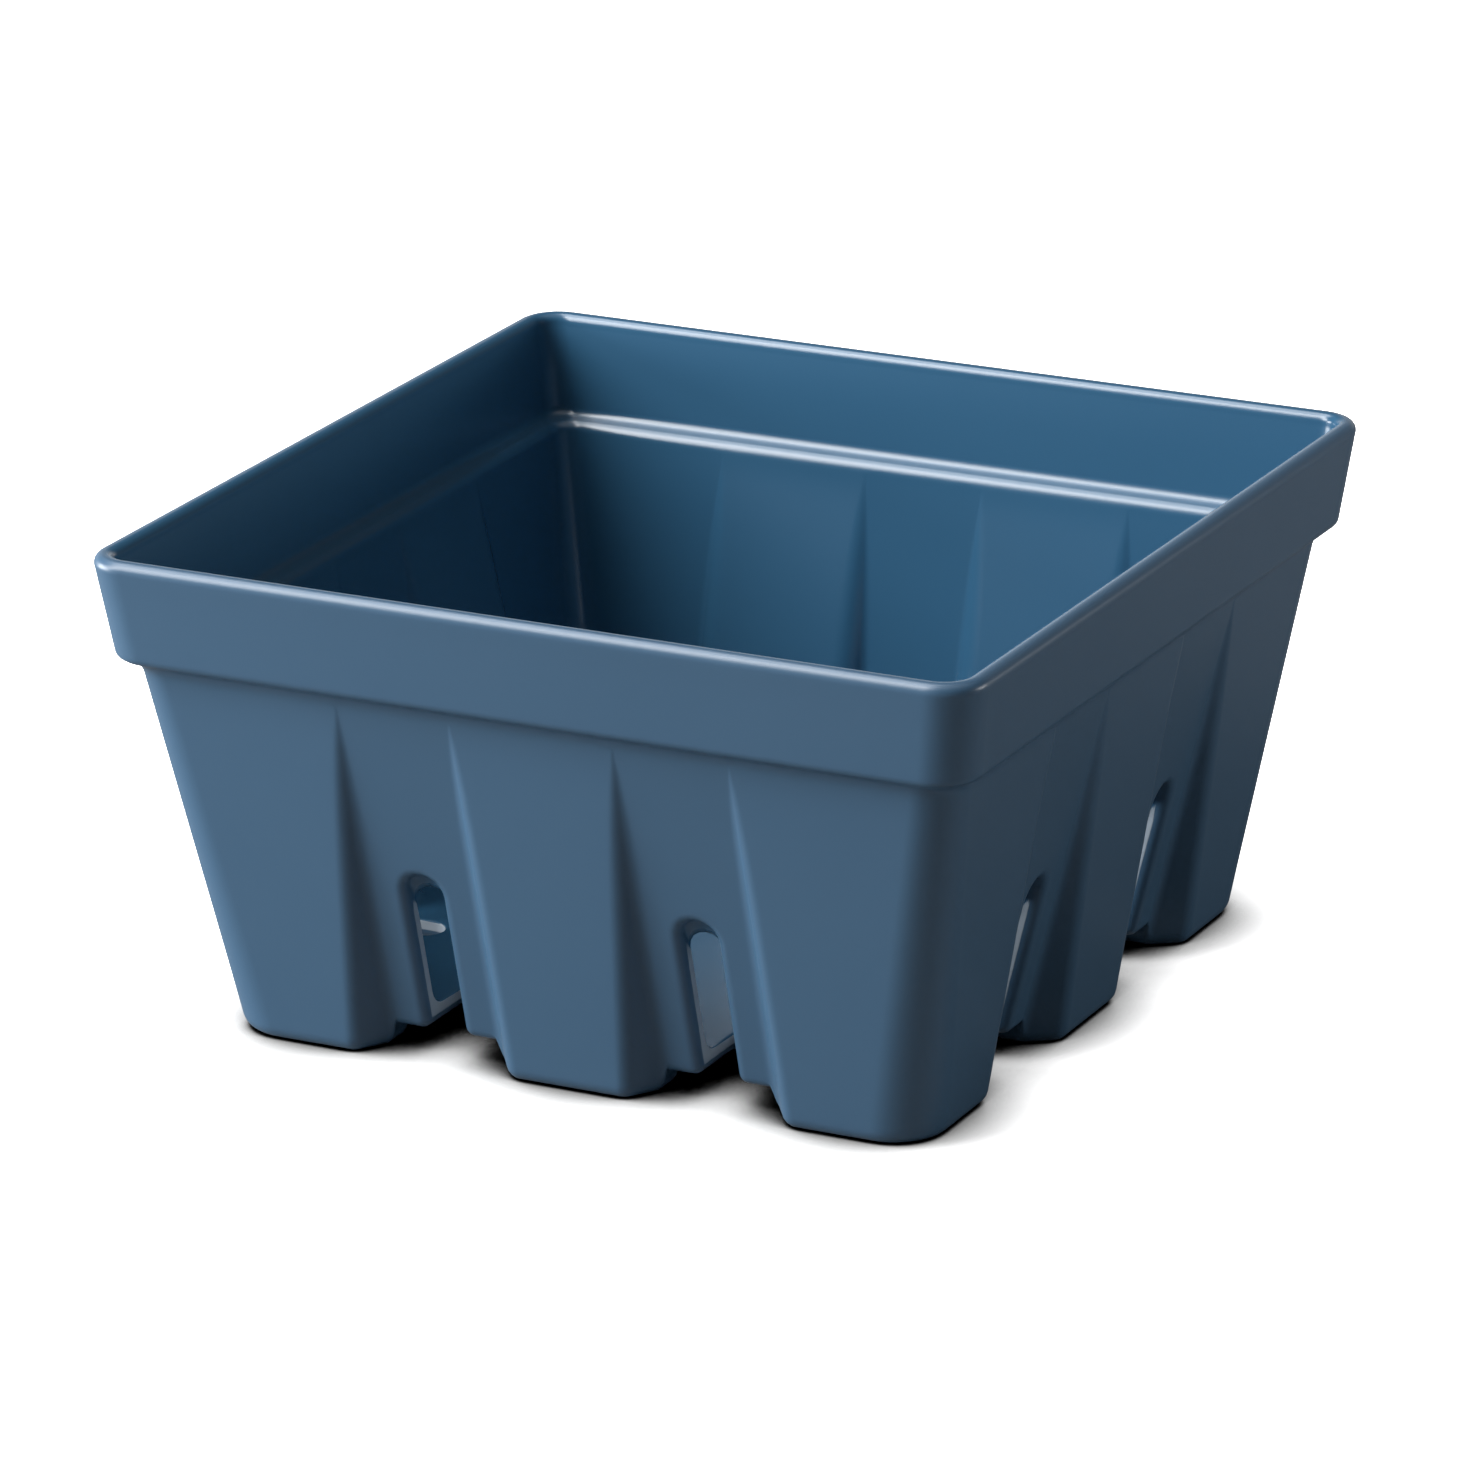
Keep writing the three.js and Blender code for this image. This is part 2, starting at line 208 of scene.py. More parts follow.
class ColanderStage(bpy.types.PropertyGroup):
    """The studio: a white floor, four soft lights, the room around them and the camera."""

    key_power: power_value("Key power", "Power of the tall soft light at the front left", 142)
    key_width: length_value("Key width", "Width of the tall soft light", 1.2)
    key_height: length_value("Key height", "Height of the tall soft light", 2.4)
    key_direction: direction_value(
        "Key direction", "From the basket to the tall soft light", (-0.53, -0.55, 0.645))
    top_power: power_value("Top power", "Power of the soft light overhead, which only gives glints", 64)
    top_width: length_value("Top width", "Width of the soft light overhead, from front to back", 2.2)
    top_length: length_value("Top length", "Length of the soft light overhead, from left to right", 1.2)
    top_direction: direction_value(
        "Top direction", "From the basket to the soft light overhead", (-0.43, 0, 0.90))
    left_power: power_value("Left power", "Power of the low light at the left", 5.2)
    left_size: length_value("Left size", "Width and height of the low light at the left", 0.3)
    left_direction: direction_value(
        "Left direction", "From the basket to the low light at the left", (-0.93, -0.34, 0.15))
    left_distance: length_value("Left distance", "From the basket to the low light at the left", 0.6)
    right_power: power_value("Right power", "Power of the low light at the right", 1.8)
    right_size: length_value("Right size", "Width of the low light at the right", 0.37)
    right_height: length_value("Right height", "Height of the low light at the right", 0.1)
    right_direction: direction_value(
        "Right direction", "From the basket to the low light at the right", (0.87, 0.45, 0.14))
    right_distance: length_value("Right distance", "From the basket to the low light at the right", 0.8)
    light_distance: length_value("Light distance", "From the basket to the other lights", 3.0)
    floor_bounce: number_value(
        "Floor bounce", "Share of light that the floor throws back at the basket", 0.27)
    floor_mirrored: number_value(
        "Floor mirrored", "Whiteness of the floor where the basket mirrors it", 0.18)
    floor_seen: number_value(
        "Floor seen", "Whiteness of the floor in the picture, without its glow", 0.9)
    floor_glow: number_value(
        "Floor glow", "Light that the floor adds in the picture, so that it burns out to white", 1.8)
    # These shape the painted contact shadow on the floor.
    contact_reach: length_value(
        "Contact reach", "How far the dark of the basket's contact reaches", 19 * MM)
    contact_depth: number_value(
        "Contact depth", "How fast the floor darkens towards the basket's contact", 1.3)
    contact_dark: number_value("Contact dark", "Share of open sky over the floor at which it is black", 0.3)
    ceiling_light: number_value("Ceiling light", "Brightness of the room straight above", 0.8)
    horizon_light: number_value("Horizon light", "Brightness of the room at the horizon", 0.03)
    backdrop_light: number_value("Backdrop light", "Brightness of the pale backdrop behind the basket", 0.9)
    camera_yaw: angle_value("Camera yaw", "Camera's turn to the right", math.radians(27.05))
    camera_pitch: angle_value("Camera pitch", "Camera's look down", math.radians(19.18))
    camera_roll: angle_value("Camera roll", "Camera's tilt", math.radians(-0.79))
    camera_distance: length_value("Camera distance", "From the camera to its aim", 1342.28 * MM)
    camera_aim: place_value("Camera aim", "Point in the middle of the picture", (-2.0 * MM, 0, 39.2 * MM))
    focal_pixels: number_value("Focal length", "In pixels of the photograph", 8524.85)


def mix(first, second, share):
    """The value that lies at a share of the way from one value to another."""
    return first + (second - first) * share


def soft(share, blend):
    """A share that runs out smoothly where it would turn negative."""
    return (share + math.sqrt(share * share + blend * blend)) / 2


class Basket:
    """The curves of the moulding. A half is the distance of a wall from the middle, and u runs along the
    wall from the middle of a channel. A row is a line of points along half of the front wall, from its middle
    to the diagonal of its right corner. Rows from the middle of the underside up over the lip and down to the
    middle of the floor make an eighth of the basket.
    """

    def __init__(self, sizes):
        s = self.sizes = sizes
        self.rim_half = s.rim_width / 2
        self.crease = s.height - s.band_height
        self.lip_z = s.height - s.lip_radius
        self.crease_half = self.band_half(self.crease) - s.band_step
        self.wall_inset = s.wall / math.cos(s.wall_draft)
        self.channel_top = self.crease - s.channel_drop
        self.channel_middle = s.channel_spacing / 2
        self.half_panel = s.panel_width / 2
        self.panel_slope = math.tan(s.wall_draft) + s.channel_depth / self.channel_top
        self.panel_draft = math.atan(self.panel_slope)
        self.floor_top = s.foot_height + s.wall
        self.foot_inside = self.wall_half(0) - s.foot_depth
        self.half_slot = s.slot_width / 2
        fall = math.tan(s.slot_slope)
        self.arch_drop = fall * self.wall_inset / (1 - fall * self.panel_slope)
        self.slot_end = self.panel_half(s.foot_height) - s.slot_reach + self.half_slot
        self.flank_slope = math.atan2(s.channel_depth, s.flank_width)
        self.panel_end = self.half_panel - s.root_round * math.tan(self.flank_slope / 2)
        self.clear_ring = self.half_slot + s.slot_round + s.support
        self.wide_ring = self.panel_end - s.support
        self.pivot = self.channel_middle + self.panel_end

    def band_half(self, z):
        return self.rim_half - (self.lip_z - z) * math.tan(self.sizes.band_draft)

    def band_inside(self, z):
        return self.band_half(z) - self.sizes.wall / math.cos(self.sizes.band_draft)

    def wall_half(self, z):
        return self.crease_half - (self.crease - z) * math.tan(self.sizes.wall_draft)

    def wall_inside(self, z):
        return self.wall_half(z) - self.wall_inset

    def fade(self, z):
        return (self.channel_top - z) / self.channel_top

    def depth(self, z):
        return self.sizes.channel_depth * soft(self.fade(z), self.sizes.top_blend)

    def panel_half(self, z):
        return self.wall_half(z) - self.depth(z)

    def wall_corner(self, z):
        return mix(self.sizes.foot_corner, self.sizes.crease_corner, z / self.crease)

    def slot_edge(self, inside):
        return self.sizes.slot_inner_round if inside else self.sizes.slot_round

    def slot_spring(self, inside):
        return self.sizes.slot_height - self.half_slot - (self.arch_drop if inside else 0)

    def rings(self, edge_round):
        """Distances from a slot's middle line: inside it, over its rounded edge, and a clear strip."""
        turns = [math.pi / 2 * (1 - step / RING_STEPS) for step in range(RING_STEPS + 1)]
        edge = [self.half_slot + edge_round * (1 - math.sin(turn)) for turn in turns]
        return [0, self.half_slot / 2, *edge, self.clear_ring]

    def flank(self, z, inside=False):
        """Places along the wall and depths over a flank, from the panel to the leg. Where the channel is too
        shallow for the whole of both rounds, they meet at a lower slope.
        """
        s = self.sizes
        depth = self.depth(z)
        root_round = s.inner_root_round if inside else s.root_round
        edge_round = s.inner_edge_round if inside else s.edge_round
        slope = min(self.flank_slope, math.acos(1 - depth / (root_round + edge_round)))
        middle = self.half_panel + (s.wall if inside else 0) + s.flank_width * depth / s.channel_depth / 2
        reach = depth / 2 / math.tan(slope)
        root = middle - reach - root_round * math.tan(slope / 2)
        edge = middle + reach + edge_round * math.tan(slope / 2)
        turns = [slope * step / ROUND_STEPS for step in range(ROUND_STEPS + 1)]
        points = [(root + root_round * math.sin(turn), depth - root_round * (1 - math.cos(turn)))
                  for turn in turns]
        points += [(edge - edge_round * math.sin(turn), edge_round * (1 - math.cos(turn)))
                   for turn in reversed(turns)]
        return points

    def round_end(self, u, ring):
        """Bends the square rings round a slot's end into half circles."""
        far = max(abs(u), ring)
        if ring <= 0 or far > self.clear_ring + CLOSE:
            return u, max(ring, 0)
        if abs(u) >= ring:
            angle = math.pi / 4 * ring / abs(u)
            return math.copysign(far * math.cos(angle), u), far * math.sin(angle)
        angle = math.pi / 4 * abs(u) / ring
        return math.copysign(far * math.sin(angle), u), far * math.cos(angle)

    def sink(self, far, edge_round):
        """How deep a slot's rounded edge lies under the skin, at a distance from the slot's middle line."""
        inward = min(max(self.half_slot + edge_round - far, 0), edge_round)
        return edge_round - math.sqrt(edge_round ** 2 - inward ** 2)

    def panel(self, half, z, edge_round, ring=None, along=(0, 0), into=(0, 0)):
        """Points across a panel. With a ring, the row crosses a slot, or its end where the ring is wide."""
        points = []
        rings = self.rings(edge_round)
        for u in [-u for u in reversed(rings[1:])] + rings:
            if ring is None:
                points.append((u, half, z))
                continue
            depth = self.sink(max(abs(u), ring), edge_round)
            bent, ahead = self.round_end(u, ring)
            point_half = half + ahead * along[0] + depth * into[0]
            points.append((bent, point_half, z + ahead * along[1] + depth * into[1]))
        return points

    def row(self, half, z, corner, flank, panel):
        """A whole row, from a panel's points, a flank's points from panel to leg, and the legs' place."""
        middle = self.channel_middle
        near_end = middle - flank[-1][0]
        far_end = middle + flank[-1][0]
        bend = half - corner
        before_bend = bend - min(self.sizes.support, (bend - far_end) / 4)
        points = [(near_end * share, half, z) for share in (0, 0.5)]
        points += [(middle - u, h, level) for u, h, level in reversed(flank)]
        points += [(middle + u, h, level) for u, h, level in panel + flank]
        points += [(mix(far_end, bend, 0.5), half, z), (before_bend, half, z)]
        for step in range(CORNER_STEPS + 1):
            angle = math.pi / 4 * step / CORNER_STEPS
            points.append((bend + corner * math.sin(angle), bend + corner * math.cos(angle), z))
        return [Vector((x, -h, level)) for x, h, level in points]

    def plain_row(self, half, z, corner, inside=False):
        """A row over the rim band, which has no channels."""
        support = self.sizes.support
        flank = [(u, half, z) for u, _ in self.flank(0, inside)]
        flank = [(flank[0][0] - support, half, z), *flank, (flank[-1][0] + support, half, z)]
        return self.row(half, z, corner, flank, self.panel(half, z, self.slot_edge(inside)))

    def wall_row(self, leg_z, panel_z, inside, ring=None, inset=0):
        """A row over a wall: its skin outside or inside, moved in by an inset."""
        s = self.sizes
        face = self.wall_inside if inside else self.wall_half
        flank = []
        for index in range(2 * ROUND_STEPS + 2):
            z = mix(panel_z, leg_z, min(index / ROUND_STEPS, 1))
            u, depth = self.flank(z, inside)[index]
            flank.append((u, face(z) - depth - inset, z))
        leg_half = face(leg_z) - inset
        flank.insert(0, (flank[0][0] - s.support, flank[0][1], panel_z))
        flank.append((flank[-1][0] + s.support, leg_half, leg_z))
        base_z = self.slot_spring(inside) if ring else panel_z
        base_half = face(base_z) - self.depth(base_z) - inset
        side = 1 if inside else -1
        into = (side * math.cos(self.panel_draft), -side * math.sin(self.panel_draft))
        panel = self.panel(base_half, base_z, self.slot_edge(inside), ring, (self.panel_slope, 1), into)
        corner = self.wall_corner(leg_z) - (s.wall if inside else 0) - inset
        return self.row(leg_half, leg_z, corner, flank, panel)

    def foot_edge(self, share):
        """Half, height and the wall's inset on the rounded lower edge of a leg, from wall to ground."""
        s = self.sizes
        angle = mix(-s.wall_draft, -math.pi / 2, share)
        centre = self.wall_half(s.foot_round) - s.foot_round / math.cos(s.wall_draft)
        half = centre + s.foot_round * math.cos(angle)
        z = s.foot_round * (1 + math.sin(angle))
        return half, z, max(self.wall_half(z) - half, 0)

    def panel_edge(self, share):
        """Half, height and angle on the rounded lower edge of a panel, from its face to the underside."""
        s = self.sizes
        angle = mix(-self.panel_draft, -math.pi / 2, share)
        centre_z = s.foot_height + s.panel_round
        centre = self.panel_half(centre_z) - s.panel_round / math.cos(self.panel_draft)
        return centre + s.panel_round * math.cos(angle), centre_z + s.panel_round * math.sin(angle), angle

    def leg_round(self, z, inset):
        """Points over the edge between a flank and a leg's face, moved into the leg by an inset."""
        edge = self.flank(z)[-1][0]
        centre = self.wall_half(z) - self.sizes.edge_round
        radius = self.sizes.edge_round - inset
        points = []
        for step in range(ROUND_STEPS + 1):
            turn = self.flank_slope * (1 - step / ROUND_STEPS)
            points.append((edge - radius * math.sin(turn), centre + radius * math.cos(turn), z))
        return points

    def foot_side(self, start, end):
        """Points down a foot's side and round its lower edge, from the underside to the ground."""
        s = self.sizes
        points = [start]
        for step in range(1, ROUND_STEPS + 1):
            turn = math.pi / 2 * (ROUND_STEPS - step) / (ROUND_STEPS - 1)
            u = mix(self.half_panel, end[0], 1 - math.sin(turn))
            half = mix(start[1], end[1], step / ROUND_STEPS)
            points.append((u, half, s.foot_round * (1 - math.cos(turn))))
        return points

    def flank_foot(self, share):
        """The end of a flank beside the panel, on the rounded lower edge of the leg."""
        _, z, inset = self.foot_edge(share)
        u, depth = self.flank(z)[ROUND_STEPS]
        half = self.wall_half(z) - depth - inset * math.cos(self.flank_slope)
        return u + inset * math.sin(self.flank_slope), half, z

    def panel_foot(self, share):
        """The edge of the panel beside a flank, on the rounded lower edge of the panel."""
        half, z, _ = self.panel_edge(share)
        return mix(self.flank(z)[0][0], self.half_panel, share), half, z

    def notch(self, share):
        """Points of the hollow between a panel's lower edge and a leg's side: a patch in its four edges."""
        top = []
        panel_z = self.panel_edge(0)[1]
        leg_z = self.foot_edge(0)[1]
        for step in range(ROUND_STEPS + 1):
            z = mix(panel_z, leg_z, step / ROUND_STEPS)
            u, depth = self.flank(z)[step]
            top.append((u, self.wall_half(z) - depth, z))
        bottom = self.foot_side(self.panel_foot(1), self.flank_foot(1))
        near, far = Vector(self.panel_foot(share)), Vector(self.flank_foot(share))
        points = []
        for step in range(ROUND_STEPS + 1):
            across = step / ROUND_STEPS
            between = Vector(top[step]).lerp(Vector(bottom[step]), share)
            sides = near.lerp(far, across)
            corners = Vector(top[0]).lerp(Vector(bottom[0]), share).lerp(
                Vector(top[-1]).lerp(Vector(bottom[-1]), share), across)
            points.append(tuple(between + sides - corners))
        return points

    def foot_row(self, share):
        """A row over the rounded lower edges of the legs and panels."""
        s = self.sizes
        half, z, inset = self.foot_edge(share)
        panel_half, panel_z, angle = self.panel_edge(share)
        flank = self.notch(share) + self.leg_round(z, inset)
        flank.insert(0, (flank[0][0] - s.support, panel_half, panel_z))
        flank.append((flank[-1][0] + s.support, half, z))
        into = (-math.cos(angle), -math.sin(angle))
        panel = self.panel(panel_half, panel_z, s.slot_round, 0, into=into)
        return self.row(half, z, self.wall_corner(z) - inset, flank, panel)

    def ground_row(self, half, z, panel_half):
        """A row under the feet: on the ground, or up the inner side of the feet to the underside."""
        s = self.sizes
        foot_end = self.half_panel + s.foot_round
        side = self.foot_side((self.half_panel, panel_half, s.foot_height), (foot_end, half, 0))
        side = [side[0]] + [(u, half, max(level, z)) for u, _, level in side[1:]]
        last = self.leg_round(0, s.foot_round)[-1][0] + s.support
        count = ROUND_STEPS + 2
        spread = [(mix(foot_end, last, step / count), half, z) for step in range(1, count + 1)]
        flank = [(side[0][0] - s.support, panel_half, s.foot_height), *side, *spread]
        panel = self.panel(panel_half, s.foot_height, s.slot_round, 0, into=(0, 1))
        return self.row(half, z, s.foot_corner - s.wall, flank, panel)

    def flat_row(self, reference, z, ring, edge_round, into):
        """A row on the floor or under it, at a distance past the middle of the slots' round inner ends."""
        half = self.slot_end - ring
        start = -reference[0].y
        shrink = (half - self.pivot) / (start - self.pivot)
        panel = self.panel(self.slot_end, z, edge_round, ring, (-1, 0), into)
        points = [Vector((p.x, -half, z)) for p in reference[:BEFORE_PANEL]]
        points += [Vector((self.channel_middle + u, -h, level)) for u, h, level in panel]
        beyond = reference[len(points):]
        corner_start = len(beyond) - CORNER_STEPS - 1
        for index, p in enumerate(beyond):
            x = mix(self.pivot, p.x, shrink)
            y = -mix(self.pivot, -p.y, shrink) if index >= corner_start else -half
            points.append(Vector((x, y, z)))
        return points

    def flat_rows(self, reference, z, edge_round, into):
        """Rows from the slots' round inner ends to the middle of the basket."""
        rings = [*self.rings(edge_round), self.wide_ring]
        rows = [self.flat_row(reference, z, ring, edge_round, into) for ring in rings]
        rows += [[Vector((p.x * share, p.y * share, z)) for p in rows[-1]] for share in MIDDLE_SHARES]
        return rows

    def underside_rows(self):
        """Rows from the middle of the underside out over the feet to the foot of the wall."""
        s = self.sizes
        feet = [self.ground_row(self.foot_inside, s.foot_height, self.foot_inside)]
        for step in range(FOOT_STEPS + 1):
            turn = math.pi / 2 * step / FOOT_STEPS
            half = self.foot_inside + s.foot_inner_round * (1 - math.cos(turn))
            z = s.foot_inner_round * (1 - math.sin(turn))
            panel_half = self.foot_inside + s.foot_inner_round * (step + 1) / (FOOT_STEPS + 1)
            feet.append(self.ground_row(half, z, panel_half))
        flat = self.flat_rows(feet[0], s.foot_height, s.slot_round, (0, 1))
        between = [[a.lerp(b, 0.5) for a, b in zip(flat[0], feet[0])]]
        edge = [self.foot_row(1 - step / ROUND_STEPS) for step in range(ROUND_STEPS + 1)]
        return flat[::-1] + between + feet + edge

    def wall_heights(self, leg_start, panel_start, inside):
        """Heights of the rows up to a slot's round end, for the legs and for the panels."""
        support = self.sizes.support
        end = self.slot_spring(inside)
        heights = [(leg_start + support, panel_start + support)]
        heights += [(mix(leg_start, end, share), mix(panel_start, end, share)) for share in BOTTOM_SHARES]
        return heights

    def slot_end_rows(self, inside):
        """Rows over a slot's round upper end."""
        heights = [(self.slot_spring(inside) + ring, ring) for ring in self.rings(self.slot_edge(inside))]
        return [self.wall_row(z, z, inside, ring) for z, ring in heights]

    def upper_rows(self, inside, last):
        """Rows from over the slots to the last one under the band or the ledge."""
        start = self.slot_spring(inside) + self.wide_ring
        heights = [mix(start, self.channel_top, share) for share in TOP_SHARES]
        heights += [mix(self.channel_top, last, 0.5), last]
        return [self.wall_row(z, z, inside) for z in heights if z <= last]

    def outer_rows(self):
        """Rows up the outside, from the feet to the top of the lip."""
        s = self.sizes
        heights = self.wall_heights(self.foot_edge(0)[1], self.panel_edge(0)[1], False)
        rows = [self.wall_row(leg_z, panel_z, False, 0) for leg_z, panel_z in heights]
        rows += self.slot_end_rows(False)
        band_z = self.crease + s.crease_rise
        band = self.band_half(band_z) - s.band_round / math.cos(s.band_draft)
        radii = s.band_round + s.crease_round
        gap = self.wall_half(band_z) + s.crease_round / math.cos(s.wall_draft) - band
        turn = s.wall_draft + math.acos(gap * math.cos(s.wall_draft) / radii)
        hollow_z = band_z - radii * math.sin(turn)
        hollow = band + radii * math.cos(turn)
        rows += self.upper_rows(False, hollow_z + s.crease_round * math.sin(s.wall_draft))
        for step in range(1, ROUND_STEPS + 1):
            angle = mix(s.wall_draft, turn, step / ROUND_STEPS)
            half = hollow - s.crease_round * math.cos(angle)
            rows.append(self.plain_row(half, hollow_z + s.crease_round * math.sin(angle), s.crease_corner))
        for step in range(1, ROUND_STEPS + 1):
            angle = mix(turn, s.band_draft, step / ROUND_STEPS)
            half = band + s.band_round * math.cos(angle)
            corner = mix(s.crease_corner, s.rim_corner, step / ROUND_STEPS)
            rows.append(self.plain_row(half, band_z - s.band_round * math.sin(angle), corner))
        start = rows[-1][0].z + s.support
        end = self.lip_z - s.lip_radius * math.sin(s.band_draft) - s.support
        for z in (start, mix(start, end, 0.5), end):
            rows.append(self.plain_row(self.band_half(z), z, s.rim_corner))
        for step in range(ROUND_STEPS + 2):
            angle = mix(-s.band_draft, math.pi / 2, step / (ROUND_STEPS + 1))
            inset = s.lip_radius * (1 - math.cos(angle))
            z = self.lip_z + s.lip_radius * math.sin(angle)
            rows.append(self.plain_row(self.rim_half - inset, z, s.rim_corner - inset))
        return rows

    def inner_rows(self):
        """Rows down the inside, from the top of the lip to the floor's fillet."""
        s = self.sizes
        inner_corner = s.rim_corner - s.wall
        rows = []

        def add(half, z, corner):
            rows.append(self.plain_row(half, z, corner, True))

        face = self.band_inside(self.lip_z)
        for step in range(ROUND_STEPS + 2):
            angle = mix(math.pi / 2, -s.band_draft, step / (ROUND_STEPS + 1))
            outset = s.lip_radius * (1 - math.cos(angle))
            add(face + outset, self.lip_z + s.lip_radius * math.sin(angle), inner_corner + outset)
        middle = self.crease + s.ledge_rise
        radii = s.ledge_hollow + s.ledge_shoulder
        turn = math.acos(1 - (self.band_inside(middle) - self.wall_inside(middle)) / radii)
        rise = radii * math.sin(turn) / 2
        hollow_z = middle + rise
        shoulder_z = middle - rise
        start = rows[-1][0].z - s.support
        for z in (start, mix(start, hollow_z, 0.5), hollow_z + s.support):
            add(self.band_inside(z), z, inner_corner)
        ledge_corner = s.crease_corner - s.wall
        hollow_half = self.band_inside(hollow_z) - s.ledge_hollow
        shoulder_half = self.wall_inside(shoulder_z) + s.ledge_shoulder
        for step in range(ROUND_STEPS):
            angle = -turn * step / ROUND_STEPS
            add(hollow_half + s.ledge_hollow * math.cos(angle),
                hollow_z + s.ledge_hollow * math.sin(angle), inner_corner)
        for step in range(ROUND_STEPS):
            angle = turn * (1 - step / ROUND_STEPS)
            corner = mix(inner_corner, ledge_corner, step / ROUND_STEPS)
            add(shoulder_half - s.ledge_shoulder * math.cos(angle),
                shoulder_z + s.ledge_shoulder * math.sin(angle), corner)
        rows += self.upper_rows(True, shoulder_z)[::-1] + self.slot_end_rows(True)[::-1]
        fillet_z = self.floor_top + s.floor_fillet
        centre = self.wall_inside(fillet_z) - s.floor_fillet / math.cos(s.wall_draft)
        fillet = []
        for step in range(ROUND_STEPS + 1):
            angle = mix(-s.wall_draft, -math.pi / 2, step / ROUND_STEPS)
            z = fillet_z + s.floor_fillet * math.sin(angle)
            inset = max(self.wall_inside(z) - centre - s.floor_fillet * math.cos(angle), 0)
            fillet.append(self.wall_row(z, z, True, 0, inset))
        start = fillet[0][0].z
        rows += [self.wall_row(z, z, True, 0) for z, _ in self.wall_heights(start, start, True)[::-1]]
        return rows + fillet

    def floor_rows(self, reference):
        """Rows over the floor, from the fillet's end to the middle."""
        s = self.sizes
        flat = self.flat_rows(reference, self.floor_top, s.slot_inner_round, (0, -1))
        between = [[a.lerp(b, step / (FLOOR_ROWS + 1)) for a, b in zip(reference, flat[0])]
                   for step in range(1, FLOOR_ROWS + 1)]
        return between + flat


def edit(piece):
    """Opens a piece for editing, with nothing else selected."""
    bpy.ops.object.select_all(action="DESELECT")
    piece.select_set(True)
    bpy.context.view_layer.objects.active = piece
    bpy.ops.object.mode_set(mode="EDIT")


def mark_points(piece, name, columns, marked_rows, marked_columns, value=1):
    """Keeps a mark on the points in some rows and columns of the grid. The others have a mark of zero."""
    attributes = piece.data.attributes
    attribute = attributes.get(name) or attributes.new(name, "FLOAT", "POINT")
    for row in marked_rows:
        for column in marked_columns:
            attribute.data[row * columns + column].value = value


def mould_eighth(shape):
    """Draws a flat grid onto the moulding's rows, and opens the slot through both skins."""
    underside, outer, inner = shape.underside_rows(), shape.outer_rows(), shape.inner_rows()
    floor = shape.floor_rows(inner[-1])
    rows = underside + outer + inner + floor
    columns = len(rows[0])
    bpy.ops.mesh.primitive_grid_add(x_subdivisions=columns - 1, y_subdivisions=len(rows) - 1, size=1)
    piece = bpy.context.object
    piece.name = piece.data.name = "moulded_basket"
    points = [value for row in rows for point in row for value in point]
    if len(points) != 3 * len(piece.data.vertices):
        raise RuntimeError("the grid and the rows of the moulding have different numbers of points")
    piece.data.vertices.foreach_set("co", points)
    # The slot's opening runs from its round end under the floor, at tip, to its arch, at top
    tip = len(MIDDLE_SHARES) + RING_STEPS + 2
    top = len(underside) + len(BOTTOM_SHARES) + 1 + ARCH_ROWS
    inner_tip = len(rows) - 1 - tip
    inner_top = inner_tip - (top - tip)
    left = BEFORE_PANEL + RING_STEPS + 1
    right = left + 2 * ARCH_ROWS
    slot_columns = range(left, right + 1)
    mark_points(piece, "inside", columns, range(len(underside) + len(outer), len(rows)), range(columns))
    mark_points(piece, "ground", columns, range(tip, top - ARCH_ROWS), slot_columns, OUTER_GROUND)
    mark_points(piece, "ground", columns, range(inner_top + ARCH_ROWS + 1, inner_tip + 1), slot_columns)
    edit(piece)
    bpy.ops.mesh.select_all(action="DESELECT")
    mesh = bmesh.from_edit_mesh(piece.data)
    mesh.faces.ensure_lookup_table()
    for row in (*range(tip, top), *range(inner_top, inner_tip)):
        for column in range(left, right):
            mesh.faces[row * (columns - 1) + column].select_set(True)
    bmesh.update_edit_mesh(piece.data)
    bpy.ops.mesh.bridge_edge_loops(number_cuts=SLOT_CUTS, interpolation="LINEAR")
    bpy.ops.object.mode_set(mode="OBJECT")
    return piece


def complete_basket(piece):
    """Mirrors the eighth to a side, turns copies of it to the other sides, and joins them."""
    bpy.ops.object.modifier_add(type="MIRROR")
    bpy.ops.object.modifier_apply(modifier=piece.modifiers[-1].name)
    edit(piece)
    bpy.ops.mesh.select_all(action="SELECT")
    for _ in range(SIDES - 1):
        bpy.ops.mesh.duplicate()
        bpy.ops.transform.rotate(value=math.tau / SIDES, orient_axis="Z", center_override=(0, 0, 0))
    bpy.ops.mesh.select_all(action="SELECT")
    bpy.ops.mesh.remove_doubles(threshold=WELD)
    bpy.ops.mesh.normals_make_consistent(inside=False)
    bpy.ops.object.mode_set(mode="OBJECT")
    bpy.ops.object.shade_smooth()


def node(tree, kind, place, **values):
    """Adds a shader node and sets its properties."""
    added = tree.nodes.new(kind)
    added.location = place
    for name, value in values.items():
        setattr(added, name, value)
    return added


def noise(tree, object_place, place, scale, detail):
    """Adds a noise texture that is fixed to the object."""
    texture = node(tree, "ShaderNodeTexNoise", place)
    texture.inputs["Scale"].default_value = scale
    texture.inputs["Detail"].default_value = detail
    tree.links.new(object_place.outputs["Object"], texture.inputs["Vector"])
    return texture


def ramp(tree, place, edges, low=0, high=1):
    """Adds a smooth ramp between two values, from the first edge to the second."""
    added = node(tree, "ShaderNodeMapRange", place, interpolation_type="SMOOTHSTEP")
    added.inputs["From Min"].default_value, added.inputs["From Max"].default_value = edges
    added.inputs["To Min"].default_value = low
    added.inputs["To Max"].default_value = high
    return added


def grey(level):
    """A colour without hue."""
    return (level, level, level, 1)


